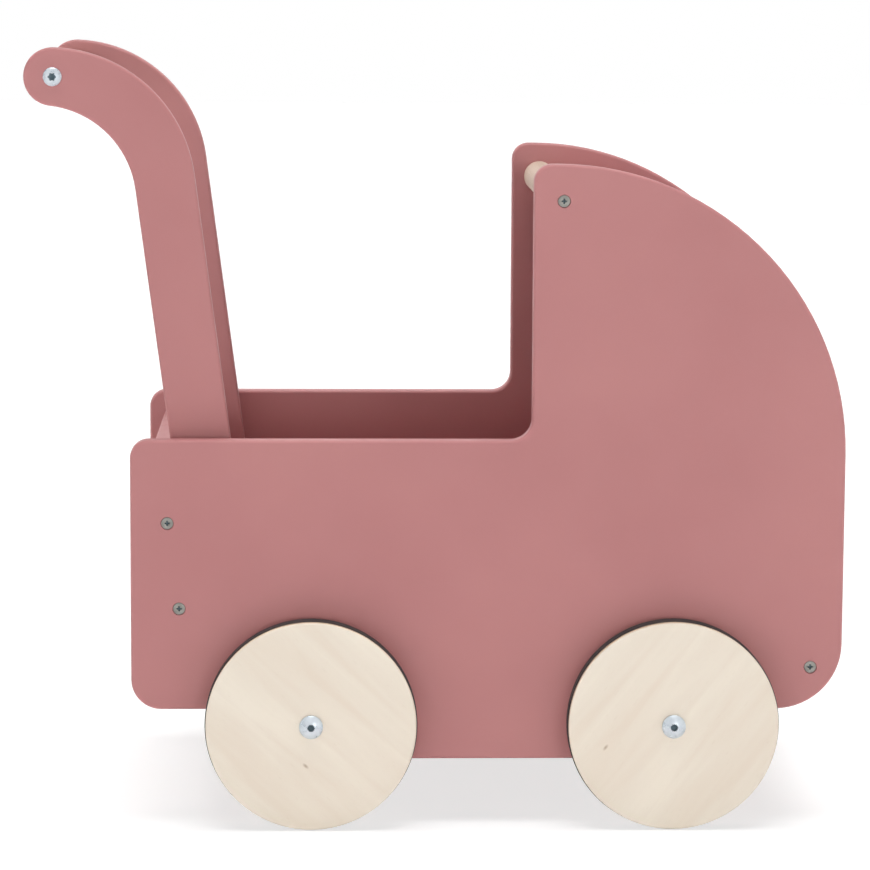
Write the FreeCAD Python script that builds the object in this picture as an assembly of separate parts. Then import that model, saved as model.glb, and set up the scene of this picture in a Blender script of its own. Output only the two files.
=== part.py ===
import FreeCAD, Part
import math
import os

from FreeCAD import Vector

# A toy pram for dolls, in painted plywood on four wooden wheels. Millimetres.
# +X is forwards, towards the hood, +Y is the pram's left and +Z is up.
# X is measured from the rear edge of the side panels, and heights from the axle line, until the
# last step, which stands the pram on z = 0 with its origin at the middle of its footprint.

# Boards and body
BOARD = 12.0              # thickness of the side panels and handle arms
BOARD_ROUND = 2.0         # round-over on every long edge of those boards
BODY_WIDTH = 286.0        # outer face to outer face of the side panels
PANEL_LENGTH = 475.5
LOBE_ABOVE_AXLE = 7.4     # lower edge of the panels at both ends
DROP_BELOW_AXLE = 26.5    # lower edge of the panels between the wheels
BODY_HEIGHT = 181.4       # from that end edge up to the tray's rim
HOOD_LENGTH = 209.2
HOOD_HEIGHT = 183.0       # above the tray's rim
HOOD_FLAT = 4.5           # level run between the hood's rear corner and its big arc
DROP_PAST_AXLE = 28.0

# Corner radii of the side panels
REAR_TOP_CORNER = 12.0
REAR_BOTTOM_CORNER = 20.0
NOTCH_CORNER = 14.0
HOOD_CORNER = 12.0
FRONT_CORNER = 44.0
DROP_CORNER = 18.0
DROP_HOLLOW = 12.0

# Leaning board at the rear of the tray
END_BOARD_THICKNESS = 16.5   # takes screws in its edges
LEAN_DEGREES = 7.6
END_BOARD_INSET = 18.9    # panel's rear edge to the middle of the board's top
END_BOARD_BELOW_RIM = 14.0
END_BOARD_SCREWS = (42.0, 100.0)   # down the board from its top

# Floor and the beams that carry it
FLOOR_THICKNESS = 9.0
BEAM_WIDTH = 44.0
BEAM_HEIGHT = 27.0
BEAM_SCREW_OFFSET = 14.0
FLOOR_SCREW_SPACING = 180.0

# Hood: a bent sheet in grooves, between two round cross bars
DOWEL_RADIUS = 11.0
HOOD_DOWEL_SETBACK = 19.7   # from the hood's rear edge
HOOD_DOWEL_BELOW_TOP = 24.2
FRONT_DOWEL_SETBACK = 21.1  # from the panel's front edge
FRONT_DOWEL_ABOVE_LOBE = 28.4
SHEET_THICKNESS = 4.0
SHEET_INSET = 21.0          # from the hood's arc to the sheet's outer face
GROOVE_DEPTH = 5.0

# Handle
ARM_SIDE_GAP = 10.0          # from a side panel's inner face to the arm beside it
ARM_WIDTH = 40.0            # of the straight run
ARM_END_RADIUS = 19.2
BEND_INNER_RADIUS = 63.5
BEND_OUTER_RADIUS = 96.0
GRIP_BEHIND_PANEL = 50.5    # the grip's middle, behind the panels' rear edge
GRIP_ABOVE_RIM = 238.1
ARM_TUCK = 134.0            # how far the arms reach down from the end board's top
ARM_FOOT_CORNER = 8.0
ARM_SCREWS = (32.0, 110.0)  # down the board from its top
GRIP_RADIUS = 12.0

# Wheels
WHEEL_RADIUS = 70.0
WHEEL_THICKNESS = 18.0
WHEEL_EDGE_ROUND = 1.2
TYRE_WIDTH = 10.0
TYRE_DEPTH = 3.2
TYRE_PROUD = 0.7
TYRE_EDGE_ROUND = 0.8
REAR_AXLE_INSET = 120.0     # from the panel's rear edge
FRONT_AXLE_INSET = 114.4    # from the panel's front edge
BUSH_RADIUS = 6.0
FLANGE_RADIUS = 9.0
FLANGE_THICKNESS = 1.5
WASHER_THICKNESS = 1.5
SIDE_PLAY = 0.3

# Fasteners
SHOULDER_RADIUS = 4.0
THREAD_RADIUS = 3.0
THREAD_LENGTH = 14.0
INSERT_RADIUS = 4.5
INSERT_LENGTH = 15.0
AXLE_HEAD_RADIUS = 7.9
AXLE_HEAD_HEIGHT = 4.2
HANDLE_HEAD_RADIUS = 6.2
HANDLE_HEAD_HEIGHT = 3.4
HEAD_RIM_SHARE = 0.3        # straight part of a domed head's height
SOCKET_SIZE = 4.0           # across flats
SOCKET_SHARE = 0.65         # socket's depth as a share of the head's height
SCREW_LENGTH = 40.0
FLOOR_SCREW_LENGTH = 25.0
SCREW_RADIUS = 2.0
SCREW_HEAD_RADIUS = 4.0
SCREW_HEAD_RIM = 0.4
SCREW_HEAD_HEIGHT = 2.6
SCREW_POINT = 4.0
SCREW_TIP_RADIUS = 0.3
SCREW_SINK = 0.6            # heads lie this far under the surface
RECESS_ARM = 1.1
RECESS_RADIUS = 2.5
RECESS_BOTTOM_RADIUS = 0.7
RECESS_DEPTH = 2.2

# Clearances
FIT = 0.05                  # radial, around shanks, bushes and inserts
COUNTERSINK_GAP = 0.4       # around screw heads
GROOVE_GAP = 0.1            # around the hood sheet
HOLE_OVERRUN = 0.5          # past the end of a screw or a thread
THROUGH = 1.0               # how far a cutter passes a face
LEVEL_EDGE = 0.05           # an edge that reaches less than this along Y lies in a board's face
HEXAGON_SIDES = 6

# Values that follow from the ones above
tyre_radius = WHEEL_RADIUS + TYRE_PROUD
lobe_z = LOBE_ABOVE_AXLE
drop_z = -DROP_BELOW_AXLE
rim_z = lobe_z + BODY_HEIGHT
hood_top_z = rim_z + HOOD_HEIGHT
hood_rear_x = PANEL_LENGTH - HOOD_LENGTH
hood_radius = HOOD_LENGTH - HOOD_CORNER - HOOD_FLAT
hood_centre_x = PANEL_LENGTH - hood_radius
hood_centre_z = hood_top_z - hood_radius
rear_axle_x = REAR_AXLE_INSET
front_axle_x = PANEL_LENGTH - FRONT_AXLE_INSET
axle_xs = {"rear": rear_axle_x, "front": front_axle_x}
sides = {"left": 1, "right": -1}
outer_y = BODY_WIDTH / 2
inner_y = outer_y - BOARD
floor_bottom_z = BEAM_HEIGHT / 2
floor_top_z = floor_bottom_z + FLOOR_THICKNESS
hood_dowel_x = hood_rear_x + HOOD_DOWEL_SETBACK
hood_dowel_z = hood_top_z - HOOD_DOWEL_BELOW_TOP
front_dowel_x = PANEL_LENGTH - FRONT_DOWEL_SETBACK
front_dowel_z = lobe_z + FRONT_DOWEL_ABOVE_LOBE
sheet_radius = hood_radius - SHEET_INSET - SHEET_THICKNESS / 2
wheel_inner_y = outer_y + WASHER_THICKNESS + SIDE_PLAY + FLANGE_THICKNESS
axle_head_y = wheel_inner_y + WHEEL_THICKNESS + SIDE_PLAY
arm_outer_y = inner_y - ARM_SIDE_GAP
arm_inner_y = arm_outer_y - BOARD

# The lean's own directions: down along the board, and square to it towards the tray
lean = math.radians(LEAN_DEGREES)
along = Vector(math.sin(lean), 0, -math.cos(lean))
across = Vector(math.cos(lean), 0, math.sin(lean))
board_top = Vector(END_BOARD_INSET, 0, rim_z - END_BOARD_BELOW_RIM)
board_length = (board_top.z - floor_bottom_z) / math.cos(lean)

grip_place = Vector(-GRIP_BEHIND_PANEL, 0, rim_z + GRIP_ABOVE_RIM)


def on_board(down, inwards, y=0.0):
    """A place given by its distance down the end board and from its middle plane."""
    return board_top + along * down + across * inwards + Vector(0, y, 0)


def bend_centre(line, radius, reach):
    """A bend's centre: a radius behind a line that runs up the board, and a reach from the grip."""
    grip = grip_place - board_top
    behind = line - radius
    rise = math.sqrt(reach ** 2 - (grip.dot(across) - behind) ** 2)
    return on_board(grip.dot(along) + rise, behind)


def arc_about(centre, radius, start, end):
    """The shorter arc about a centre from one place to another."""
    towards_middle = (start - centre).normalize() + (end - centre).normalize()
    return Part.Arc(start, centre + towards_middle.normalize() * radius, end).toShape()


def rounded_outline(corners):
    """A closed wire across Y through corners of (x, z, radius), each rounded by its radius."""
    places = [Vector(x, 0, z) for x, z, _ in corners]
    edges = []
    starts = []
    ends = []
    for number, (here, (_, _, radius)) in enumerate(zip(places, corners)):
        before = (places[number - 1] - here).normalize()
        after = (places[(number + 1) % len(places)] - here).normalize()
        half = before.getAngle(after) / 2
        reach = radius / math.tan(half)
        middle = here + (before + after).normalize() * (radius / math.sin(half) - radius)
        starts.append(here + before * reach)
        ends.append(here + after * reach)
        if radius > 0:
            edges.append(Part.Arc(starts[-1], middle, ends[-1]).toShape())
    for number, start in enumerate(starts):
        edges.append(Part.LineSegment(ends[number - 1], start).toShape())
    return Part.Wire(Part.__sortEdges__(edges))


def slab(wire, low_y, high_y):
    """The wire's face, filled from one Y to another."""
    face = Part.Face(wire)
    face.translate(Vector(0, low_y, 0))
    return face.extrude(Vector(0, high_y - low_y, 0))


def board(wire, low_y, high_y, radius):
    """A slab with both its outlines rounded over."""
    plain = slab(wire, low_y, high_y)
    outline = [edge for edge in plain.Edges if edge.BoundBox.YLength < LEVEL_EDGE]
    return plain.makeFillet(radius, outline)


def rod(radius, start, direction, length):
    return Part.makeCylinder(radius, length, start, direction)


def ring(outer, inner, start, direction, length):
    return rod(outer, start, direction, length).cut(rod(inner, start, direction, length))


def cross_bar(radius, x, z, half_length):
    return rod(radius, Vector(x, -half_length, z), Vector(0, 1, 0), 2 * half_length)


def aimed(shape, place, direction):
    """Turns a shape made from the origin downwards so that it points along a direction."""
    turn = FreeCAD.Rotation(Vector(0, 0, -1), direction)
    shape.Placement = FreeCAD.Placement(place, turn)
    return shape


def screw(place, direction, length):
    """A countersunk wood screw with a cross recess; the place is the middle of its head's top."""
    down = Vector(0, 0, -1)
    head_end = SCREW_HEAD_RIM + SCREW_HEAD_HEIGHT
    body = rod(SCREW_HEAD_RADIUS, Vector(), down, SCREW_HEAD_RIM)
    body = body.fuse(Part.makeCone(
        SCREW_HEAD_RADIUS, SCREW_RADIUS, SCREW_HEAD_HEIGHT, Vector(0, 0, -SCREW_HEAD_RIM), down))
    shank = length - head_end - SCREW_POINT
    body = body.fuse(rod(SCREW_RADIUS, Vector(0, 0, -head_end), down, shank))
    body = body.fuse(Part.makeCone(
        SCREW_RADIUS, SCREW_TIP_RADIUS, SCREW_POINT, Vector(0, 0, -head_end - shank), down))
    arm = Part.makeBox(
        2 * RECESS_RADIUS, RECESS_ARM, RECESS_DEPTH,
        Vector(-RECESS_RADIUS, -RECESS_ARM / 2, -RECESS_DEPTH))
    other = arm.copy()
    other.rotate(Vector(), Vector(0, 0, 1), 90)
    taper = Part.makeCone(RECESS_RADIUS, RECESS_BOTTOM_RADIUS, RECESS_DEPTH, Vector(), down)
    recess = arm.fuse(other).common(taper)
    return aimed(body.cut(recess).removeSplitter(), place, direction)


def screw_hole(place, direction, length):
    """The countersunk hole for a screw, open above its head."""
    down = Vector(0, 0, -1)
    wide = SCREW_HEAD_RADIUS + COUNTERSINK_GAP
    above = SCREW_SINK + THROUGH
    hole = rod(wide, Vector(0, 0, above), down, above + SCREW_HEAD_RIM)
    hole = hole.fuse(Part.makeCone(
        wide, SCREW_RADIUS + FIT, SCREW_HEAD_HEIGHT + FIT, Vector(0, 0, -SCREW_HEAD_RIM), down))
    hole = hole.fuse(rod(SCREW_RADIUS + FIT, Vector(), down, length + HOLE_OVERRUN))
    return aimed(hole.removeSplitter(), place, direction)


def hexagon(across_flats, depth):
    """A hexagonal prism that reaches down from the origin."""
    radius = across_flats / math.sqrt(3)
    turns = [2 * math.pi * number / HEXAGON_SIDES for number in range(HEXAGON_SIDES + 1)]
    corners = [Vector(radius * math.cos(turn), radius * math.sin(turn), 0) for turn in turns]
    return Part.Face(Part.makePolygon(corners)).extrude(Vector(0, 0, -depth))


def domed_head(radius, height):
    """A low domed head with a hexagon socket, standing on the origin's plane."""
    rim = height * HEAD_RIM_SHARE
    rise = height - rim
    ball = (radius ** 2 + rise ** 2) / (2 * rise)
    dome = Part.makeSphere(ball, Vector(0, 0, height - ball))
    head = Part.makeCylinder(radius, height).common(dome)
    socket = hexagon(SOCKET_SIZE, height * SOCKET_SHARE)
    socket.translate(Vector(0, 0, height))
    return head.cut(socket)


def bolt(head_radius, head_height, steps, place, direction):
    """A bolt from the underside of its head: steps are (radius, length) down the shank."""
    body = domed_head(head_radius, head_height)
    depth = 0.0
    for radius, length in steps:
        body = body.fuse(rod(radius, Vector(0, 0, -depth), Vector(0, 0, -1), length))
        depth += length
    return aimed(body.removeSplitter(), place, direction)


def panel_outline():
    front_drop_x = front_axle_x + DROP_PAST_AXLE
    rear_drop_x = rear_axle_x - DROP_PAST_AXLE
    return rounded_outline([
        (0, lobe_z, REAR_BOTTOM_CORNER),
        (0, rim_z, REAR_TOP_CORNER),
        (hood_rear_x, rim_z, NOTCH_CORNER),
        (hood_rear_x, hood_top_z, HOOD_CORNER),
        (PANEL_LENGTH, hood_top_z, hood_radius),
        (PANEL_LENGTH, lobe_z, FRONT_CORNER),
        (front_drop_x, lobe_z, DROP_HOLLOW),
        (front_drop_x, drop_z, DROP_CORNER),
        (rear_drop_x, drop_z, DROP_CORNER),
        (rear_drop_x, lobe_z, DROP_HOLLOW),
    ])


def sheet_outline(gap):
    """The bent sheet seen along Y: round under the hood's arc, then straight down the front."""
    half = SHEET_THICKNESS / 2 + gap
    hold = DOWEL_RADIUS - GROOVE_DEPTH - gap
    dowel_turn = math.atan2(hood_dowel_z - hood_centre_z, hood_dowel_x - hood_centre_x)
    first = dowel_turn - hold / sheet_radius
    foot_z = front_dowel_z + hold
    outer = sheet_radius + half
    inner = sheet_radius - half

    def at(turn, radius):
        return Vector(hood_centre_x + radius * math.cos(turn), 0,
                      hood_centre_z + radius * math.sin(turn))

    outer_foot = Vector(hood_centre_x + outer, 0, foot_z)
    inner_foot = Vector(hood_centre_x + inner, 0, foot_z)
    return Part.Wire([
        Part.Arc(at(first, outer), at(first / 2, outer), at(0, outer)).toShape(),
        Part.LineSegment(at(0, outer), outer_foot).toShape(),
        Part.LineSegment(outer_foot, inner_foot).toShape(),
        Part.LineSegment(inner_foot, at(0, inner)).toShape(),
        Part.Arc(at(0, inner), at(first / 2, inner), at(first, inner)).toShape(),
        Part.LineSegment(at(first, inner), at(first, outer)).toShape(),
    ])


def arm_outline():
    """A handle arm seen along Y: a rounded foot, a straight run, the bend and a round end."""
    rear = END_BOARD_THICKNESS / 2
    front = rear + ARM_WIDTH
    corner = ARM_FOOT_CORNER
    foot = ARM_TUCK
    slant = math.sqrt(0.5) * corner
    inner = bend_centre(rear, BEND_INNER_RADIUS, BEND_INNER_RADIUS + ARM_END_RADIUS)
    outer = bend_centre(front, BEND_OUTER_RADIUS, BEND_OUTER_RADIUS - ARM_END_RADIUS)
    inner_start = inner + across * BEND_INNER_RADIUS
    outer_start = outer + across * BEND_OUTER_RADIUS
    inner_end = grip_place + (inner - grip_place).normalize() * ARM_END_RADIUS
    outer_end = grip_place + (grip_place - outer).normalize() * ARM_END_RADIUS
    tip = grip_place - Vector(ARM_END_RADIUS, 0, 0)
    return Part.Wire([
        Part.LineSegment(inner_start, on_board(foot - corner, rear)).toShape(),
        Part.Arc(on_board(foot - corner, rear),
                 on_board(foot - corner + slant, rear + corner - slant),
                 on_board(foot, rear + corner)).toShape(),
        Part.LineSegment(on_board(foot, rear + corner), on_board(foot, front - corner)).toShape(),
        Part.Arc(on_board(foot, front - corner),
                 on_board(foot - corner + slant, front - corner + slant),
                 on_board(foot - corner, front)).toShape(),
        Part.LineSegment(on_board(foot - corner, front), outer_start).toShape(),
        arc_about(outer, BEND_OUTER_RADIUS, outer_start, outer_end),
        Part.Arc(outer_end, tip, inner_end).toShape(),
        arc_about(inner, BEND_INNER_RADIUS, inner_end, inner_start),
    ])


def side_screw_places(side, spots):
    """Heads of the screws that go in through a side panel at spots of (x, z)."""
    return [Vector(x, side * (outer_y - SCREW_SINK), z) for x, z in spots]


end_board_spots = [(on_board(down, 0).x, on_board(down, 0).z) for down in END_BOARD_SCREWS]
hood_dowel_spots = [(hood_dowel_x, hood_dowel_z)]
front_dowel_spots = [(front_dowel_x, front_dowel_z)]
beam_spots = [(x + offset, 0) for x in axle_xs.values()
              for offset in (-BEAM_SCREW_OFFSET, BEAM_SCREW_OFFSET)]


def driven(maker, spots):
    """Screws, or their holes, through both side panels at the same spots."""
    return [maker(place, Vector(0, -side, 0), SCREW_LENGTH)
            for side in sides.values() for place in side_screw_places(side, spots)]


def arm_screws(maker):
    """Screws, or their holes, through the end board into the rear edges of the handle arms."""
    arm_y = (arm_outer_y + arm_inner_y) / 2
    rear_face = -END_BOARD_THICKNESS / 2
    return [maker(on_board(down, rear_face + SCREW_SINK, side * arm_y), across, SCREW_LENGTH)
            for side in sides.values() for down in ARM_SCREWS]


def floor_screws(maker):
    """Screws, or their holes, down through the floor into the beams."""
    return [maker(Vector(x, side * FLOOR_SCREW_SPACING / 2, floor_top_z - SCREW_SINK),
                  Vector(0, 0, -1), FLOOR_SCREW_LENGTH)
            for x in axle_xs.values() for side in sides.values()]


def side_panel(side):
    low, high = sorted((side * inner_y, side * outer_y))
    panel = board(panel_outline(), low, high, BOARD_ROUND)
    groove = slab(sheet_outline(GROOVE_GAP), -inner_y - GROOVE_DEPTH, inner_y + GROOVE_DEPTH)
    bores = [cross_bar(SHOULDER_RADIUS + FIT, x, 0, outer_y + THROUGH) for x in axle_xs.values()]
    spots = end_board_spots + hood_dowel_spots + front_dowel_spots + beam_spots
    return panel.cut([groove] + bores + driven(screw_hole, spots))


def end_board():
    half = END_BOARD_THICKNESS / 2
    wire = Part.makePolygon([
        on_board(0, -half), on_board(0, half), on_board(board_length, half),
        on_board(board_length, -half), on_board(0, -half)])
    plain = slab(wire, -inner_y, inner_y)
    top = [edge for edge in plain.Edges
           if edge.BoundBox.YLength > inner_y and edge.CenterOfMass.z > board_top.z - half]
    shaped = plain.makeFillet(BOARD_ROUND, top)
    return shaped.cut(driven(screw_hole, end_board_spots) + arm_screws(screw_hole))


def floor_board():
    inner_face = END_BOARD_THICKNESS / 2

    def at_height(z):
        start = on_board(0, inner_face)
        return start + along * ((start.z - z) / math.cos(lean))

    wire = Part.makePolygon([
        at_height(floor_bottom_z), at_height(floor_top_z),
        Vector(front_dowel_x, 0, floor_top_z), Vector(front_dowel_x, 0, floor_bottom_z),
        at_height(floor_bottom_z)])
    return slab(wire, -inner_y, inner_y).cut(floor_screws(screw_hole))


def axle_beam(axle_x):
    beam = Part.makeBox(
        BEAM_WIDTH, 2 * inner_y, BEAM_HEIGHT,
        Vector(axle_x - BEAM_WIDTH / 2, -inner_y, -BEAM_HEIGHT / 2))
    depth = INSERT_LENGTH + HOLE_OVERRUN
    sockets = [rod(INSERT_RADIUS + FIT, Vector(axle_x, side * inner_y, 0), Vector(0, -side, 0), depth)
               for side in sides.values()]
    return beam.cut(sockets + driven(screw_hole, beam_spots) + floor_screws(screw_hole))


def hood_sheet():
    reach = inner_y + GROOVE_DEPTH - GROOVE_GAP
    return slab(sheet_outline(0), -reach, reach)


def dowel(x, z, spots):
    slot = slab(sheet_outline(GROOVE_GAP), -outer_y, outer_y)
    return cross_bar(DOWEL_RADIUS, x, z, inner_y).cut([slot] + driven(screw_hole, spots))


def handle_arm(side):
    low, high = sorted((side * arm_inner_y, side * arm_outer_y))
    arm = board(arm_outline(), low, high, BOARD_ROUND)
    bore = cross_bar(THREAD_RADIUS + FIT, grip_place.x, grip_place.z, outer_y)
    return arm.cut([bore] + arm_screws(screw_hole))


def handle_grip():
    depth = INSERT_LENGTH + HOLE_OVERRUN
    sockets = [rod(INSERT_RADIUS + FIT, grip_place + Vector(0, side * arm_inner_y, 0),
                   Vector(0, -side, 0), depth) for side in sides.values()]
    return cross_bar(GRIP_RADIUS, grip_place.x, grip_place.z, arm_inner_y).cut(sockets)


def threaded_insert(x, side, y, z):
    """A threaded sleeve whose open end lies flush with the wood around it."""
    return ring(INSERT_RADIUS, THREAD_RADIUS + FIT, Vector(x, side * y, z),
                Vector(0, -side, 0), INSERT_LENGTH)


def handle_bolt(side):
    place = grip_place + Vector(0, side * arm_outer_y, 0)
    return bolt(HANDLE_HEAD_RADIUS, HANDLE_HEAD_HEIGHT,
                [(THREAD_RADIUS, BOARD + THREAD_LENGTH)], place, Vector(0, -side, 0))


def axle_bolt(axle_x, side):
    """A bolt with a smooth shoulder up to the beam's end and a thread inside its insert."""
    place = Vector(axle_x, side * axle_head_y, 0)
    steps = [(SHOULDER_RADIUS, axle_head_y - inner_y), (THREAD_RADIUS, THREAD_LENGTH)]
    return bolt(AXLE_HEAD_RADIUS, AXLE_HEAD_HEIGHT, steps, place, Vector(0, -side, 0))


def axle_washer(axle_x, side):
    return ring(FLANGE_RADIUS, SHOULDER_RADIUS + FIT, Vector(axle_x, side * outer_y, 0),
                Vector(0, side, 0), WASHER_THICKNESS)


def wheel_disc(axle_x, side):
    start = Vector(axle_x, side * wheel_inner_y, 0)
    outwards = Vector(0, side, 0)
    disc = rod(WHEEL_RADIUS, start, outwards, WHEEL_THICKNESS)
    disc = disc.makeFillet(WHEEL_EDGE_ROUND, [edge for edge in disc.Edges if edge.Closed])
    width = TYRE_WIDTH + 2 * FIT
    groove_start = start + outwards * ((WHEEL_THICKNESS - width) / 2)
    groove = ring(WHEEL_RADIUS + THROUGH, tyre_radius - TYRE_DEPTH - FIT, groove_start, outwards, width)
    bore = cross_bar(BUSH_RADIUS + FIT, axle_x, 0, axle_head_y)
    return disc.cut([groove, bore])


def tyre(axle_x, side):
    outwards = Vector(0, side, 0)
    inset = (WHEEL_THICKNESS - TYRE_WIDTH) / 2
    start = Vector(axle_x, side * (wheel_inner_y + inset), 0)
    solid = rod(tyre_radius, start, outwards, TYRE_WIDTH)
    solid = solid.makeFillet(TYRE_EDGE_ROUND, [edge for edge in solid.Edges if edge.Closed])
    return solid.cut(rod(tyre_radius - TYRE_DEPTH, start, outwards, TYRE_WIDTH))


def hub_bush(axle_x, side):
    """A flanged sleeve in the wheel, with its flange on the wheel's inner face."""
    outwards = Vector(0, side, 0)
    wheel_face = Vector(axle_x, side * wheel_inner_y, 0)
    flange = rod(FLANGE_RADIUS, wheel_face - outwards * FLANGE_THICKNESS, outwards, FLANGE_THICKNESS)
    sleeve = rod(BUSH_RADIUS, wheel_face, outwards, WHEEL_THICKNESS)
    return flange.fuse(sleeve).cut(cross_bar(SHOULDER_RADIUS + FIT, axle_x, 0, axle_head_y))


def build_nodes():
    """Every node's name with its shape or shapes."""
    nodes = {
        "end_board": end_board(),
        "floor_board": floor_board(),
        "hood_sheet": hood_sheet(),
        "hood_dowel": dowel(hood_dowel_x, hood_dowel_z, hood_dowel_spots),
        "front_dowel": dowel(front_dowel_x, front_dowel_z, front_dowel_spots),
        "handle_grip": handle_grip(),
        "end_board_screws": driven(screw, end_board_spots),
        "hood_dowel_screws": driven(screw, hood_dowel_spots),
        "front_dowel_screws": driven(screw, front_dowel_spots),
        "beam_screws": driven(screw, beam_spots),
        "floor_screws": floor_screws(screw),
        "arm_screws": arm_screws(screw),
        "handle_bolts": [handle_bolt(side) for side in sides.values()],
    }
    nodes["handle_inserts"] = [
        threaded_insert(grip_place.x, side, arm_inner_y, grip_place.z) for side in sides.values()]
    nodes["axle_inserts"] = [
        threaded_insert(x, side, inner_y, 0) for x in axle_xs.values() for side in sides.values()]
    nodes["axle_washers"] = [
        axle_washer(x, side) for x in axle_xs.values() for side in sides.values()]
    for side_name, side in sides.items():
        nodes["side_panel_" + side_name] = side_panel(side)
        nodes["handle_arm_" + side_name] = handle_arm(side)
    for end_name, axle_x in axle_xs.items():
        nodes["axle_beam_" + end_name] = axle_beam(axle_x)
        for side_name, side in sides.items():
            corner = end_name + "_" + side_name
            nodes["axle_bolt_" + corner] = axle_bolt(axle_x, side)
            nodes["wheel_" + corner] = wheel_disc(axle_x, side)
            nodes["tyre_" + corner] = tyre(axle_x, side)
            nodes["hub_bush_" + corner] = hub_bush(axle_x, side)
    return nodes


def stand(shape):
    """Moves a shape from the drawing's place to the part's own frame, on the floor."""
    handle_tip_x = grip_place.x - ARM_END_RADIUS
    middle_x = (PANEL_LENGTH + handle_tip_x) / 2
    shape.translate(Vector(-middle_x, 0, tyre_radius))
    return shape


os.makedirs("parts", exist_ok=True)
for name, made in build_nodes().items():
    shape = Part.makeCompound(made) if isinstance(made, list) else made
    stand(shape).exportStep("parts/" + name + ".step")
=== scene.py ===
# %% [markdown]
# # A painted doll stroller
# The stroller comes in as a fixed frame of CAD parts: boards, dowels, wheels and fasteners, all at
# their real size. This lesson gives each of them a finish, remodels the small turned hardware that
# a CAD export leaves crude, and sets up a plain studio.

# %% Load the frame
import math

import bmesh
import bpy
import numpy as np
from mathutils import Matrix, Vector


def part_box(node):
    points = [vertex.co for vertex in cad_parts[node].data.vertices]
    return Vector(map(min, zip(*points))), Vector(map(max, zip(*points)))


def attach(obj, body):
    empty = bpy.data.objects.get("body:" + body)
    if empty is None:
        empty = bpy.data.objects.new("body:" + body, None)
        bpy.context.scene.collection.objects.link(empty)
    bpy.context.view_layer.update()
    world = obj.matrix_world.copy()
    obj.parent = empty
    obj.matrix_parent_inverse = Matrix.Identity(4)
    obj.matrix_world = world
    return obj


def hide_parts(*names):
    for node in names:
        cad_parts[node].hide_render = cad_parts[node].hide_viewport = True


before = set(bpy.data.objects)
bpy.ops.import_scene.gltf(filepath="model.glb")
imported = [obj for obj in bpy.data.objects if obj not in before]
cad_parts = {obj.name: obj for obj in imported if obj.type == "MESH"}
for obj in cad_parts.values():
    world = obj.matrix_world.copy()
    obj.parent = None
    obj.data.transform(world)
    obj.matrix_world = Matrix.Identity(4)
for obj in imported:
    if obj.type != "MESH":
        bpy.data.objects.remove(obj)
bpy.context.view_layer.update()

bpy.ops.object.select_all(action="DESELECT")
MM = 0.001

# %% [markdown]
# ## The camera
# The stroller is seen from its right side, a little from above, with a long lens. A long lens far
# away keeps the wheels round and the panels square, which suits a catalogue view. The camera's
# place is given in metres from the middle of the stroller's footprint.

# %% Camera
LENS_MM = 145.1
CAMERA_PLACE = Vector((-0.0747, -2.4431, 0.5735))
CAMERA_TURN = (math.radians(82.323), math.radians(-0.307), math.radians(-1.792))

bpy.ops.object.camera_add(location=CAMERA_PLACE, rotation=CAMERA_TURN)
camera = bpy.context.object
camera.name = "camera"
camera.data.lens = LENS_MM
camera.data.sensor_width = 36
camera.data.clip_end = 100
bpy.context.scene.camera = camera
print("The camera stands", round(-CAMERA_PLACE.y, 2), "m away")

# %% [markdown]
# ## Light
# The light is that of a small photo tent. Its walls glow low down, all around, and light the
# boards' faces evenly, while a small strong panel straight overhead lights the floor and draws the
# pale lips along the upper edges. Between the two the tent is dim, so the tray and the hood stay
# deep and take their light from the painted boards around them. A world colour that depends on
# height alone does all of this from every side. In reflections the panel is toned down, as a
# frosted one is, and the levels are set so that a colour renders about as it is written.

# %% World and lamp
WALL_LEVEL = 2.6
WALL_TOP = (0.24, 0.10)
TENT_LEVEL = 0.06
PANEL_LEVEL = 8.3
PANEL_EDGE = (0.90, 0.98)
PANEL_MIRRORED = 0.25
MIRRORED_LEVEL = 0.92
LAMP_WATTS = 4
LAMP_SIZE = 0.7
LAMP_PLACE = Vector((1.0, -2.6, 0.6))


def add_node(tree, kind, inputs=None, **settings):
    """Adds a node, sets its properties, and fills its inputs by name or number."""
    node = tree.nodes.new(kind)
    for name, value in settings.items():
        setattr(node, name, value)
    for name, value in (inputs or {}).items():
        if isinstance(value, bpy.types.NodeSocket):
            tree.links.new(value, node.inputs[name])
        else:
            node.inputs[name].default_value = value
    return node


def math_node(tree, operation, first, second=0.0):
    return add_node(tree, "ShaderNodeMath", {0: first, 1: second}, operation=operation).outputs[0]


def height_step(tree, height, edges, amount):
    """A soft step that grows from nothing at the first height to the amount at the second."""
    return add_node(tree, "ShaderNodeMapRange", {
        "Value": height, "From Min": edges[0], "From Max": edges[1], "To Min": 0.0,
        "To Max": amount}, interpolation_type="SMOOTHSTEP").outputs[0]


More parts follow.
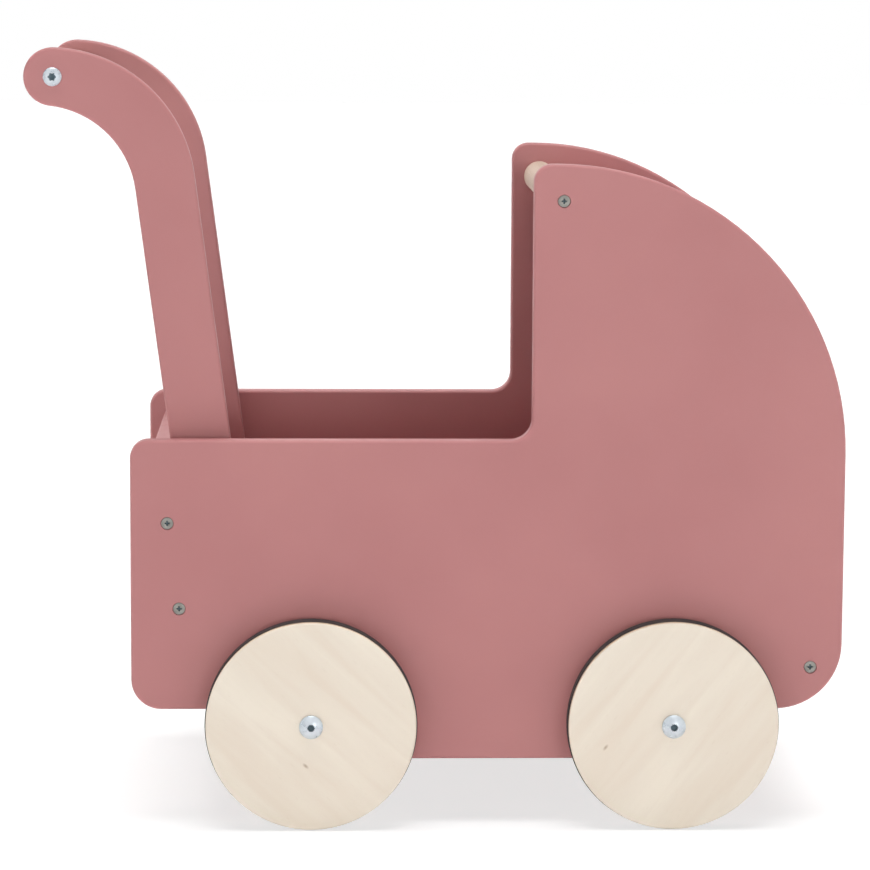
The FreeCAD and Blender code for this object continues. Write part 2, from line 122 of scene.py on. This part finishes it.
def light_the_world():
    world = bpy.data.worlds.new("photo_tent")
    bpy.context.scene.world = world
    world.use_nodes = True
    tree = world.node_tree
    place = add_node(tree, "ShaderNodeTexCoord")
    height = add_node(tree, "ShaderNodeSeparateXYZ", {0: place.outputs["Generated"]}).outputs["Z"]
    overhead = height_step(tree, height, PANEL_EDGE, PANEL_LEVEL - TENT_LEVEL)
    walls = height_step(tree, height, WALL_TOP, WALL_LEVEL - TENT_LEVEL)
    lit = math_node(tree, "ADD", math_node(tree, "ADD", overhead, walls), TENT_LEVEL)
    shown_panel = math_node(tree, "MULTIPLY", overhead, PANEL_MIRRORED)
    mirrored = math_node(tree, "ADD", shown_panel, MIRRORED_LEVEL)
    rays = add_node(tree, "ShaderNodeLightPath")
    lit = add_node(tree, "ShaderNodeMix", {
        "Factor": rays.outputs["Is Glossy Ray"], "A": lit, "B": mirrored}).outputs[0]
    seen = math_node(tree, "MAXIMUM", rays.outputs["Is Camera Ray"], rays.outputs["Is Transmission Ray"])
    strength = add_node(tree, "ShaderNodeMix", {"Factor": seen, "A": lit, "B": 1.0}).outputs[0]
    tree.links.new(strength, tree.nodes["Background"].inputs["Strength"])
    tree.nodes["Background"].inputs["Color"].default_value = (1, 1, 1, 1)


def add_lamp():
    bpy.ops.object.light_add(type="AREA", location=LAMP_PLACE)
    lamp = bpy.context.object
    lamp.name = "front_lamp"
    lamp.data.shape = "DISK"
    lamp.data.size = LAMP_SIZE
    lamp.data.energy = LAMP_WATTS
    aim = Vector((0, 0, 0.25)) - LAMP_PLACE
    lamp.rotation_euler = aim.to_track_quat("-Z", "Y").to_euler()
    return lamp


light_the_world()
add_lamp()
bpy.context.scene.view_settings.view_transform = "Standard"
print("The tent's walls are", round(WALL_LEVEL / TENT_LEVEL, 1), "times as bright as its middle")

# %% [markdown]
# ## The floor
# The stroller stands on a white sweep. A real sweep is lit until it shows white, but extra light
# would also bleach the stroller. Here the floor is only shown brighter to the camera: in camera
# rays it glows, and only a part of what it shows is the light that falls on it, so its shadow is
# still there but soft and pale, as on a large sweep.

# %% Floor
FLOOR_SIZE = 24.0
FLOOR_WHITE = 0.92
FLOOR_SHOWN = 0.42
FLOOR_GLOW = 0.7


def make_floor():
    bpy.ops.mesh.primitive_plane_add(size=FLOOR_SIZE)
    floor = bpy.context.object
    floor.name = "floor"
    material = bpy.data.materials.new("white_sweep")
    material.use_nodes = True
    tree = material.node_tree
    tree.nodes.remove(tree.nodes["Principled BSDF"])
    matt = add_node(tree, "ShaderNodeBsdfDiffuse", {"Color": (FLOOR_WHITE,) * 3 + (1,)})
    shown = add_node(tree, "ShaderNodeBsdfDiffuse", {"Color": (FLOOR_SHOWN,) * 3 + (1,)})
    glow = add_node(tree, "ShaderNodeEmission", {"Strength": FLOOR_GLOW})
    bright = add_node(tree, "ShaderNodeAddShader", {0: shown.outputs[0], 1: glow.outputs[0]})
    rays = add_node(tree, "ShaderNodeLightPath")
    seen = add_node(tree, "ShaderNodeMath", {
        0: rays.outputs["Is Camera Ray"], 1: rays.outputs["Is Transmission Ray"]}, operation="MAXIMUM")
    mix = add_node(tree, "ShaderNodeMixShader", {
        0: seen.outputs[0], 1: matt.outputs[0], 2: bright.outputs[0]})
    tree.links.new(mix.outputs[0], tree.nodes["Material Output"].inputs["Surface"])
    floor.data.materials.append(material)
    return floor


make_floor()
print("The floor is", FLOOR_SIZE, "m across")

# %% [markdown]
# ## Tools for finishes
# Every finish is a Principled shader fed by noise on Object coordinates, so it keeps its scale in
# metres and stays on its piece. Wood needs noise that is stretched along the grain: a Vector Rotate
# node turns the grain's direction onto X, and a multiply then squeezes the other two axes.

# %% Finish helpers
def colour(red, green, blue):
    """A display colour, 0 to 255, as the linear colour that a shader takes."""
    def linear(value):
        share = value / 255
        return share / 12.92 if share <= 0.04045 else ((share + 0.055) / 1.055) ** 2.4
    return (linear(red), linear(green), linear(blue), 1.0)


def new_finish(name, roughness, **constants):
    """A material with a Principled shader whose constant values sit on its own sockets."""
    material = bpy.data.materials.new(name)
    material.use_nodes = True
    shader = material.node_tree.nodes["Principled BSDF"]
    shader.inputs["Roughness"].default_value = roughness
    for socket, value in constants.items():
        shader.inputs[socket.replace("_", " ")].default_value = value
    return material, material.node_tree, shader


def pattern_place(tree, centre=(0, 0, 0), turn=(0, 0, 0), stretch=(1, 1, 1)):
    """Object coordinates moved to a centre, turned, and then stretched."""
    where = add_node(tree, "ShaderNodeTexCoord")
    moved = add_node(tree, "ShaderNodeVectorMath", {
        0: where.outputs["Object"], 1: tuple(centre)}, operation="SUBTRACT")
    turned = add_node(tree, "ShaderNodeVectorRotate", {
        "Vector": moved.outputs[0], "Rotation": tuple(turn)}, rotation_type="EULER_XYZ")
    scaled = add_node(tree, "ShaderNodeVectorMath", {
        0: turned.outputs[0], 1: tuple(stretch)}, operation="MULTIPLY")
    return turned.outputs[0], scaled.outputs[0]


def noise(tree, vector, scale, detail=2.0, roughness=0.5, distortion=0.0):
    node = add_node(tree, "ShaderNodeTexNoise", {
        "Vector": vector, "Scale": scale, "Detail": detail,
        "Roughness": roughness, "Distortion": distortion})
    return node.outputs["Fac"]


def ramp(tree, value, *stops):
    """A colour ramp through (place, colour) stops."""
    node = add_node(tree, "ShaderNodeValToRGB", {"Fac": value})
    elements = node.color_ramp.elements
    while len(elements) < len(stops):
        elements.new(0.5)
    for element, (place, tint) in zip(elements, stops):
        element.position = place
        element.color = tint
    return node.outputs["Color"]


def mix_colour(tree, share, first, second, blend="MIX"):
    node = add_node(tree, "ShaderNodeMix", {}, data_type="RGBA", blend_type=blend)
    for socket, value in ((node.inputs[0], share), (node.inputs[6], first), (node.inputs[7], second)):
        if isinstance(value, bpy.types.NodeSocket):
            tree.links.new(value, socket)
        else:
            socket.default_value = value
    return node.outputs[2]


def stretch_range(tree, value, low, high, new_low=0.0, new_high=1.0):
    node = add_node(tree, "ShaderNodeMapRange", {
        "Value": value, "From Min": low, "From Max": high, "To Min": new_low, "To Max": new_high})
    return node.outputs[0]


def bump(tree, height, depth, strength=1.0, under=None):
    """A bump from a height of 0 to 1 that stands for a depth in metres."""
    node = add_node(tree, "ShaderNodeBump", {"Strength": strength, "Distance": depth, "Height": height})
    if under is not None:
        tree.links.new(under, node.inputs["Normal"])
    return node.outputs[0]


def dress(material, *names):
    """Gives a material to CAD nodes by name, in every slot that they have."""
    for name in names:
        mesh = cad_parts[name].data
        mesh.materials.clear()
        mesh.materials.append(material)


WHITE = (1, 1, 1, 1)
BLACK = (0, 0, 0, 1)
CORNERS = [end + "_" + side for end in ("rear", "front") for side in ("left", "right")]
print("Pure white is", colour(255, 255, 255)[:3])

# %% [markdown]
# ## Dusty pink paint
# The body boards are birch plywood under two coats of satin paint. The paint is nearly one colour,
# but it isn't plastic: a roller leaves a fine orange peel, the veneer's grain telegraphs through
# as faint long ripples, and on sawn edges the plies show as very shallow lines. The colour varies
# by only a few percent, because a freshly painted toy is even.

# %% Paint
PINK = colour(190, 128, 128)
PINK_DEEP = colour(186, 124, 124)
PINK_PALE = colour(194, 132, 131)
PLY_PITCH = 1.5 * MM
ALONG_X = (0, 0, 0)
ALONG_Y = (0, 0, math.radians(-90))
ALONG_Z = (0, math.radians(90), 0)


def painted_board(name, grain, plies_across_y=True):
    material, tree, shader = new_finish(name, 0.46, Specular_IOR_Level=0.35)
    plain, grained = pattern_place(tree, turn=grain, stretch=(9, 160, 160))
    cloud = noise(tree, plain, 7, detail=3)
    tint = ramp(tree, cloud, (0.3, PINK_DEEP), (0.5, PINK), (0.72, PINK_PALE))
    tree.links.new(tint, shader.inputs["Base Color"])
    ripple = noise(tree, grained, 1.0, detail=4, roughness=0.6, distortion=0.4)
    peel = noise(tree, plain, 850, detail=2)
    shape = bump(tree, ripple, 0.05 * MM, 0.6)
    shape = bump(tree, peel, 0.02 * MM, 0.5, under=shape)
    if plies_across_y:
        shape = painted_plies(tree, shape)
    sheen = stretch_range(tree, noise(tree, plain, 60, detail=3), 0.3, 0.7, 0.42, 0.52)
    tree.links.new(sheen, shader.inputs["Roughness"])
    tree.links.new(shape, shader.inputs["Normal"])
    return material


def painted_plies(tree, under):
    """Shallow lines along the sawn edges of a board whose thickness lies along Y."""
    surface = add_node(tree, "ShaderNodeNewGeometry")
    facing = add_node(tree, "ShaderNodeSeparateXYZ", {0: surface.outputs["True Normal"]})
    sideways = math_node(tree, "ABSOLUTE", facing.outputs["Y"])
    on_edge = stretch_range(tree, sideways, 0.35, 0.1)
    where = add_node(tree, "ShaderNodeTexCoord")
    place = add_node(tree, "ShaderNodeSeparateXYZ", {0: where.outputs["Object"]})
    turns = math_node(tree, "MULTIPLY", place.outputs["Y"], 2 * math.pi / PLY_PITCH)
    wave = math_node(tree, "SINE", turns)
    height = math_node(tree, "MULTIPLY", wave, on_edge)
    return bump(tree, height, 0.02 * MM, 0.5, under=under)


dress(painted_board("pink_panels", ALONG_X), "side_panel_left", "side_panel_right")
dress(painted_board("pink_arms", ALONG_Z), "handle_arm_left", "handle_arm_right")
dress(painted_board("pink_cross_boards", ALONG_Y, plies_across_y=False),
      "end_board", "floor_board", "hood_sheet")
print("Painted boards:", PINK[:3])

# %% [markdown]
# ## Wheel plywood
# The wheels are sawn from clear-lacquered birch plywood. The face veneer is pale cream with broad,
# soft bands and short fine flecks, and now and then a pin knot. The rim is different: there the
# plies show end on, light and brown in turn. One material does both and chooses by the surface's
# own normal. Each wheel gets its own turn of the grain, because no two are cut the same way.

# %% Wheel plywood
BIRCH = colour(238, 227, 211)
BIRCH_WARM = colour(235, 222, 205)
BIRCH_PALE = colour(242, 232, 216)
BIRCH_FLECK = colour(222, 207, 188)
PLY_LIGHT = colour(226, 206, 178)
PLY_BROWN = colour(176, 140, 104)
KNOT_BROWN = colour(176, 152, 122)
WHEEL_TURN = {"rear_left": 20, "rear_right": -42, "front_left": -65, "front_right": 52}
KNOT_PLACE = {"rear_left": (-24, 31), "rear_right": (15, -22), "front_left": (12, 8),
              "front_right": (-39, 27)}


def birch_face(tree, turned, corner):
    """The face veneer's colour, from soft bands, fine flecks and one pin knot."""
    bands = noise(tree, stretched(tree, turned, (5, 1, 55)), 1.0, detail=3, distortion=0.8)
    tint = ramp(tree, bands, (0.32, BIRCH_WARM), (0.5, BIRCH), (0.68, BIRCH_PALE))
    flecks = noise(tree, stretched(tree, turned, (180, 300, 1500)), 1.0, detail=2)
    fleck_share = math_node(tree, "MULTIPLY", stretch_range(tree, flecks, 0.64, 0.8), 0.35)
    tint = mix_colour(tree, fleck_share, tint, BIRCH_FLECK)
    along, across = KNOT_PLACE[corner]
    offset = add_node(tree, "ShaderNodeVectorMath", {
        0: turned, 1: (along * MM, 0, across * MM)}, operation="SUBTRACT")
    flat = stretched(tree, offset.outputs[0], (0.45, 0, 1))
    reach = add_node(tree, "ShaderNodeVectorMath", {0: flat}, operation="LENGTH").outputs["Value"]
    knot = stretch_range(tree, reach, 1.3 * MM, 0.3 * MM, 0.0, 0.75)
    return mix_colour(tree, knot, tint, KNOT_BROWN)


def stretched(tree, vector, factors):
    return add_node(tree, "ShaderNodeVectorMath", {0: vector, 1: factors}, operation="MULTIPLY").outputs[0]


def birch_rim(tree, turned):
    """The plies end on: bands across the wheel's thickness, broken up by fine end grain."""
    place = add_node(tree, "ShaderNodeSeparateXYZ", {0: turned})
    turns = math_node(tree, "MULTIPLY", place.outputs["Y"], math.pi / PLY_PITCH)
    band = math_node(tree, "ABSOLUTE", math_node(tree, "SINE", turns))
    tint = ramp(tree, band, (0.42, PLY_BROWN), (0.6, PLY_LIGHT))
    grain = noise(tree, turned, 1100, detail=2)
    return mix_colour(tree, stretch_range(tree, grain, 0.35, 0.75, 0.0, 0.4), tint, PLY_BROWN)


def wheel_plywood(corner):
    low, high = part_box("wheel_" + corner)
    material, tree, shader = new_finish("birch_wheel_" + corner, 0.42, Specular_IOR_Level=0.3)
    turn = (0, math.radians(WHEEL_TURN[corner]), 0)
    turned, _ = pattern_place(tree, centre=(low + high) / 2, turn=turn)
    surface = add_node(tree, "ShaderNodeNewGeometry")
    facing = add_node(tree, "ShaderNodeSeparateXYZ", {0: surface.outputs["True Normal"]})
    sideways = math_node(tree, "ABSOLUTE", facing.outputs["Y"])
    on_rim = stretch_range(tree, sideways, 0.3, 0.15)
    tint = mix_colour(tree, on_rim, birch_face(tree, turned, corner), birch_rim(tree, turned))
    tree.links.new(tint, shader.inputs["Base Color"])
    fibre = noise(tree, stretched(tree, turned, (60, 200, 900)), 1.0, detail=3)
    tree.links.new(bump(tree, fibre, 0.03 * MM, 0.5), shader.inputs["Normal"])
    return material


for corner in CORNERS:
    dress(wheel_plywood(corner), "wheel_" + corner)
print("Grain turned by", sorted(WHEEL_TURN.values()), "degrees")

# %% [markdown]
# ## Beech
# The cross bars, the grip and the beams are bare beech. Beech is pinkish tan, and what gives it
# away is its flecks: thousands of short dark dashes along the grain. They come from stretched
# noise that is cut off near its top, over a slow change from board to board.

# %% Beech
BEECH = colour(206, 182, 164)
BEECH_WARM = colour(196, 169, 148)
BEECH_PALE = colour(215, 193, 177)
BEECH_FLECK = colour(168, 132, 106)


def beech():
    material, tree, shader = new_finish("bare_beech", 0.55, Specular_IOR_Level=0.25)
    turned, _ = pattern_place(tree, turn=ALONG_Y)
    bands = noise(tree, stretched(tree, turned, (4, 130, 130)), 1.0, detail=3, distortion=0.5)
    tint = ramp(tree, bands, (0.3, BEECH_WARM), (0.5, BEECH), (0.7, BEECH_PALE))
    flecks = noise(tree, stretched(tree, turned, (330, 2600, 2600)), 1.0, detail=1)
    share = math_node(tree, "MULTIPLY", stretch_range(tree, flecks, 0.6, 0.75), 0.6)
    tree.links.new(mix_colour(tree, share, tint, BEECH_FLECK), shader.inputs["Base Color"])
    fibre = noise(tree, stretched(tree, turned, (80, 1500, 1500)), 1.0, detail=2)
    tree.links.new(bump(tree, fibre, 0.04 * MM, 0.5), shader.inputs["Normal"])
    return material


dress(beech(), "hood_dowel", "front_dowel", "handle_grip", "axle_beam_rear", "axle_beam_front")
print("Beech flecks are about 3 mm long")

# %% [markdown]
# ## Tyres, bushes and metal
# The tyres are thin bands of dark rubber, matt, with a fine moulded grain. The hub bushes are
# milky nylon that lets a little light in. The bolts are bright zinc plate: a bluish metal whose
# plating is slightly cloudy, so its roughness wanders, and a fine noise breaks up its
# reflections. The wood screws have the same plate, but duller and greyer, as cheap screws have.
# In every drive recess the zinc is painted darker, as painted shade of the recess.

# %% Rubber, nylon and zinc
def rubber():
    material, tree, shader = new_finish("tyre_rubber", 0.72, Specular_IOR_Level=0.4)
    plain, _ = pattern_place(tree)
    dust = noise(tree, plain, 90, detail=4)
    tint = ramp(tree, dust, (0.35, colour(47, 46, 47)), (0.75, colour(60, 58, 58)))
    tree.links.new(tint, shader.inputs["Base Color"])
    tree.links.new(bump(tree, noise(tree, plain, 1600, detail=2), 0.05 * MM, 0.7), shader.inputs["Normal"])
    return material


def nylon():
    material, tree, shader = new_finish(
        "milky_nylon", 0.4, Subsurface_Weight=0.25, Subsurface_Scale=2 * MM)
    plain, _ = pattern_place(tree)
    tint = ramp(tree, noise(tree, plain, 120), (0.3, colour(228, 227, 220)), (0.7, colour(236, 235, 229)))
    tree.links.new(tint, shader.inputs["Base Color"])
    tree.links.new(bump(tree, noise(tree, plain, 900), 0.01 * MM, 0.5), shader.inputs["Normal"])
    return material


def zinc(name, low, high, smooth, rough):
    material, tree, shader = new_finish(name, smooth, Metallic=1.0)
    plain, _ = pattern_place(tree)
    cloud = noise(tree, plain, 260, detail=3)
    tree.links.new(ramp(tree, cloud, (0.3, low), (0.7, high)), shader.inputs["Base Color"])
    tree.links.new(stretch_range(tree, cloud, 0.3, 0.7, smooth, rough), shader.inputs["Roughness"])
    tree.links.new(bump(tree, noise(tree, plain, 2200), 0.01 * MM, 0.6), shader.inputs["Normal"])
    return material


zinc_plate = zinc("bright_zinc", colour(196, 205, 213), colour(216, 223, 229), 0.24, 0.38)
screw_plate = zinc("dull_zinc", colour(132, 131, 126), colour(160, 159, 153), 0.38, 0.5)
# Painted shade: a darker copy of the zinc that stands for the shade inside drive recesses.
recess_shade_plate = zinc("painted_recess_shade_zinc", colour(88, 106, 114), colour(112, 129, 137), 0.45, 0.6)
dress(rubber(), *["tyre_" + corner for corner in CORNERS])
dress(nylon(), *["hub_bush_" + corner for corner in CORNERS])
dress(zinc_plate, "axle_washers", "axle_inserts", "handle_inserts")
print("Zinc is a metal of", [round(part, 2) for part in colour(206, 214, 221)[:3]])

# %% [markdown]
# ## Where the fasteners are
# Each fastener's place comes from its CAD solid. A node may hold several screws, so its mesh is
# copied, its loose triangles are merged, and it falls apart into islands. In an island the long
# axis runs from the head to the tip, and the head is the end that is wider.

# %% Find the fasteners
def islands(node):
    """The separate solids of a CAD node, each as an array of its corner points."""
    copy = bmesh.new()
    copy.from_mesh(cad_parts[node].data)
    bmesh.ops.remove_doubles(copy, verts=copy.verts, dist=0.001 * MM)
    left = set(copy.verts)
    found = []
    while left:
        start = left.pop()
        group = [start]
        for vert in group:
            for edge in vert.link_edges:
                other = edge.other_vert(vert)
                if other in left:
                    left.remove(other)
                    group.append(other)
        found.append(np.array([vert.co[:] for vert in group]))
    copy.free()
    return found


def ring_centre(points, heights, level, tolerance=0.02 * MM):
    """The middle of the points whose height is at a level."""
    near = points[np.abs(heights - level) < tolerance]
    return (near.max(axis=0) + near.min(axis=0)) / 2


def fastener_lines(node):
    """(middle of the head's end, direction from head to tip) of each fastener in a node."""
    lines = []
    for points in islands(node):
        middle = points.mean(axis=0)
        axis = np.linalg.svd(points - middle)[2][0]
        heights = (points - middle) @ axis
        spread = np.linalg.norm(points - middle - np.outer(heights, axis), axis=1)
        if heights[spread.argmax()] > 0:
            axis = -axis
            heights = -heights
        head = ring_centre(points, heights, heights.min())
        tip = ring_centre(points, heights, heights.max())
        direction = (tip - head) / np.linalg.norm(tip - head)
        lines.append((Vector(head), Vector(direction)))
    return lines


SCREW_NODES = ["end_board_screws", "hood_dowel_screws", "front_dowel_screws", "beam_screws",
               "floor_screws", "arm_screws"]
screw_lines = {node: fastener_lines(node) for node in SCREW_NODES}
print("Screws found:", {node: len(lines) for node, lines in screw_lines.items()})

# %% [markdown]
# ## Turned hardware
# A screw or a bolt is a turned part, so it can be spun from a profile or drawn out ring by ring.
# Drawing it out is easy to follow: a filled circle is extruded down by each step of the profile
# and resized. The drive recess is then cut by a Boolean with a tapered cutter, and a small bevel
# gives every edge a glint, as plating does.

# %% Turning and cutting tools
SIDES_AROUND = 48
DOWN = Vector((0, 0, -1))


def flat_selection():
    """Leaves object mode with nothing selected."""
    if bpy.context.object and bpy.context.object.mode != "OBJECT":
        bpy.ops.object.mode_set(mode="OBJECT")
    bpy.ops.object.select_all(action="DESELECT")


def turned(name, rings, sides=SIDES_AROUND):
    """A solid drawn out from its top: rings of (height, radius), the first one at the top."""
    flat_selection()
    (height, radius), *others = rings
    bpy.ops.mesh.primitive_circle_add(
        vertices=sides, radius=radius, fill_type="NGON", location=(0, 0, height))
    piece = bpy.context.object
    piece.name = name
    bpy.ops.object.transform_apply(location=True)
    bpy.ops.object.mode_set(mode="EDIT")
    bpy.ops.mesh.select_all(action="SELECT")
    for next_height, next_radius in others:
        bpy.ops.mesh.extrude_region_move(
            TRANSFORM_OT_translate={"value": (0, 0, next_height - height)})
        share = next_radius / radius
        bpy.ops.transform.resize(value=(share, share, 1), center_override=(0, 0, next_height))
        height = next_height
        radius = next_radius
    bpy.ops.mesh.select_all(action="SELECT")
    bpy.ops.mesh.normals_make_consistent(inside=False)
    bpy.ops.object.mode_set(mode="OBJECT")
    return piece


def apply_modifier(piece, kind, **settings):
    flat_selection()
    bpy.context.view_layer.objects.active = piece
    piece.select_set(True)
    modifier = piece.modifiers.new(kind.lower(), kind)
    for name, value in settings.items():
        setattr(modifier, name, value)
    bpy.ops.object.modifier_apply(modifier=modifier.name)


def cut(piece, cutter):
    """Cuts one solid out of another and removes the cutter."""
    apply_modifier(piece, "BOOLEAN", object=cutter, operation="DIFFERENCE", solver="EXACT")
    bpy.data.objects.remove(cutter)


def soften(piece, width, segments=2):
    """Rounds the sharp edges a little and shades what is round as round."""
    apply_modifier(piece, "BEVEL", width=width, segments=segments, limit_method="ANGLE",
                   angle_limit=math.radians(28))
    bpy.ops.object.shade_smooth_by_angle(angle=math.radians(28))


def plated(piece, plate, recess_radius, recess_top, recess_bottom):
    """Plates a turned piece, and paints shade as a darker zinc on the faces inside its drive recess."""
    piece.data.materials.append(plate)
    piece.data.materials.append(recess_shade_plate)
    # Faces inside the recess get the darker zinc, as painted shade.
    for face in piece.data.polygons:
        inside = face.center.xy.length < recess_radius
        face.material_index = int(inside and recess_bottom < face.center.z < recess_top)
    return piece


def placed_copy(pattern, name, place, direction):
    """A copy with its own mesh, pointed along a direction with its place in its mesh."""
    mesh = pattern.data.copy()
    turn = DOWN.rotation_difference(direction).to_matrix().to_4x4()
    mesh.transform(Matrix.Translation(place) @ turn)
    piece = bpy.data.objects.new(name, mesh)
    bpy.context.scene.collection.objects.link(piece)
    return piece


def join(pieces, name):
    flat_selection()
    for piece in pieces:
        piece.select_set(True)
    bpy.context.view_layer.objects.active = pieces[0]
    bpy.ops.object.join()
    pieces[0].name = name
    return pieces[0]


def finish_hardware(piece, *nodes):
    """Fixes a piece to the chassis and lets it stand for its CAD nodes."""
    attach(piece, "chassis")
    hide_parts(*nodes)


print("A turned piece has", SIDES_AROUND, "sides around")

# %% [markdown]
# ## Wood screws
# The panel screws are countersunk screws with a cross recess, sunk a little below the paint, so
# each shows as a small grey disc in a dark ring. A real recess is a cross whose arms slope in
# towards a point. Two wedges cut it: each is a cube, squeezed at its lower end in edit mode.

# %% Wood screws
SCREW_LENGTH = 40 * MM
FLOOR_SCREW_LENGTH = 25 * MM
SCREW_HEAD_RADIUS = 4 * MM
SCREW_HEAD_RIM = 0.4 * MM
SCREW_HEAD_CONE = 2.6 * MM
SCREW_SHANK_RADIUS = 2 * MM
SCREW_POINT = 4 * MM
RECESS_SPAN = 4.9 * MM
RECESS_WIDTH = 1.15 * MM
RECESS_DEPTH = 2.2 * MM
RECESS_TAPER = 0.42
EDGE = 0.1 * MM


def recess_wedge(turn):
    """One arm pair of a cross recess: a cube narrowed at its lower end."""
    flat_selection()
    bpy.ops.mesh.primitive_cube_add(size=1, location=(0, 0, 0))
    wedge = bpy.context.object
    wedge.data.transform(Matrix.Diagonal((RECESS_SPAN, RECESS_WIDTH, 2 * RECESS_DEPTH, 1)))
    low = [vert.co.z < 0 for vert in wedge.data.vertices]
    for part in (wedge.data.edges, wedge.data.polygons):
        part.foreach_set("select", [all(low[end] for end in item.vertices) for item in part])
    wedge.data.vertices.foreach_set("select", low)
    bpy.ops.object.mode_set(mode="EDIT")
    bpy.ops.transform.resize(
        value=(RECESS_TAPER, 0.8, 1), center_override=(0, 0, -RECESS_DEPTH))
    bpy.ops.object.mode_set(mode="OBJECT")
    wedge.data.transform(Matrix.Rotation(turn, 4, "Z"))
    return wedge


def wood_screw(name, length):
    """A countersunk screw with its head's top at the origin, pointing down."""
    neck = -(SCREW_HEAD_RIM + SCREW_HEAD_CONE)
    screw = turned(name, [
        (0, SCREW_HEAD_RADIUS),
        (-SCREW_HEAD_RIM, SCREW_HEAD_RADIUS),
        (neck, SCREW_SHANK_RADIUS),
        (-length + SCREW_POINT, SCREW_SHANK_RADIUS),
        (-length, 0.3 * MM),
    ], sides=32)
    cut(screw, recess_wedge(0))
    cut(screw, recess_wedge(math.pi / 2))
    soften(screw, 0.12 * MM)
    return plated(screw, screw_plate, RECESS_SPAN / 2 + EDGE, -EDGE, -RECESS_DEPTH - EDGE)


long_screw = wood_screw("long_screw", SCREW_LENGTH)
floor_screw = wood_screw("floor_screw", FLOOR_SCREW_LENGTH)
for node, lines in screw_lines.items():
    pattern = floor_screw if node == "floor_screws" else long_screw
    copies = [placed_copy(pattern, node + "_piece", place, direction) for place, direction in lines]
    finish_hardware(join(copies, node.replace("screws", "screw_set")), node)
for pattern in (long_screw, floor_screw):
    bpy.data.objects.remove(pattern)
print("Screw sets made:", len(screw_lines))

# %% [markdown]
# ## Domed bolts
# The wheels turn on bolts with a wide, low dome and a hexagon socket. The dome is drawn out in
# rings that follow a circle's arc, then the rim, then the smooth shoulder that the wheel turns on,
# and last the thread's end. The socket's floor is a shallow cone, as a drill leaves it.

# %% Bolts
SOCKET_FLATS = 4 * MM
THREAD_RADIUS = 3 * MM
THREAD_PITCH = 1 * MM
THREAD_DEPTH = 0.5 * MM
DOME_RINGS = 9
AXLE_HEAD_HEIGHT = 4.2 * MM
HANDLE_HEAD_HEIGHT = 3.4 * MM
RIM_SHARE = 0.3
SOCKET_SHARE = 0.65
SOCKET_CONE = 0.5 * MM


def dome_rings(radius, height):
    """Rings of a low dome from its small flat top down to its rim, and the rim's foot."""
    rim = height * RIM_SHARE
    rise = height - rim
    ball = (radius ** 2 + rise ** 2) / (2 * rise)
    rings = []
    for step in range(1, DOME_RINGS + 1):
        ring_radius = radius * step / DOME_RINGS
        ring_height = rim + math.sqrt(ball ** 2 - ring_radius ** 2) - (ball - rise)
        rings.append((ring_height, ring_radius))
    return rings + [(0, radius)]


def socket_cutter(height):
    """A hexagonal bar with a conical end, reaching down from above a head's top."""
    across_corners = SOCKET_FLATS / math.sqrt(3)
    depth = height * SOCKET_SHARE
    cutter = turned("socket_cutter", [
        (height + 1 * MM, across_corners),
        (height - depth, across_corners),
        (height - depth - SOCKET_CONE, 0.2 * MM),
    ], sides=6)
    return cutter


def domed_bolt(name, head_radius, head_height, steps):
    """A bolt whose head stands on the origin's plane: steps of (radius, length) go down."""
    rings = dome_rings(head_radius, head_height)
    depth = 0.0
    for radius, length in steps:
        rings.append((-depth, radius))
        depth += length
        rings.append((-depth, radius))
    rings[-1] = (-depth + THREAD_DEPTH, rings[-1][1])
    rings.append((-depth, rings[-1][1] - THREAD_DEPTH))
    bolt = turned(name, rings)
    cut(bolt, socket_cutter(head_height))
    soften(bolt, 0.18 * MM)
    bottom = head_height * (1 - SOCKET_SHARE) - SOCKET_CONE - EDGE
    return plated(bolt, zinc_plate, SOCKET_FLATS / math.sqrt(3) + EDGE, head_height - 2 * EDGE, bottom)


def bolt_ends(points, side):
    """A bolt's outer and inner end along Y, and its axis, from its CAD points."""
    low = points.min(axis=0)
    high = points.max(axis=0)
    outer, inner = (high[1], low[1]) if side > 0 else (low[1], high[1])
    return outer, inner, (low[0] + high[0]) / 2, (low[2] + high[2]) / 2


def add_bolts(nodes, head_height, steps_of, label):
    """Makes one domed bolt for each solid of the nodes, all from one pattern per node."""
    for node in nodes:
        copies = []
        for points in islands(node):
            side = 1 if points[:, 1].mean() > 0 else -1
            outer, inner, x, z = bolt_ends(points, side)
            head_radius = (points[:, 0].max() - points[:, 0].min()) / 2
            length = abs(outer - inner) - head_height
            pattern = domed_bolt("bolt_pattern", head_radius, head_height, steps_of(length))
            place = Vector((x, outer - side * head_height, z))
            copies.append(placed_copy(pattern, node + "_piece", place, Vector((0, -side, 0))))
            bpy.data.objects.remove(pattern)
        finish_hardware(join(copies, node.replace(label, label + "_turned")), node)


SHOULDER_RADIUS = 4 * MM
AXLE_THREAD_LENGTH = 14 * MM
add_bolts(["axle_bolt_" + corner for corner in CORNERS], AXLE_HEAD_HEIGHT,
          lambda length: [(SHOULDER_RADIUS, length - AXLE_THREAD_LENGTH),
                          (THREAD_RADIUS, AXLE_THREAD_LENGTH)], "axle_bolt")
add_bolts(["handle_bolts"], HANDLE_HEAD_HEIGHT, lambda length: [(THREAD_RADIUS, length)], "handle_bolts")
print("Bolts made for", len(CORNERS), "wheels and the grip")
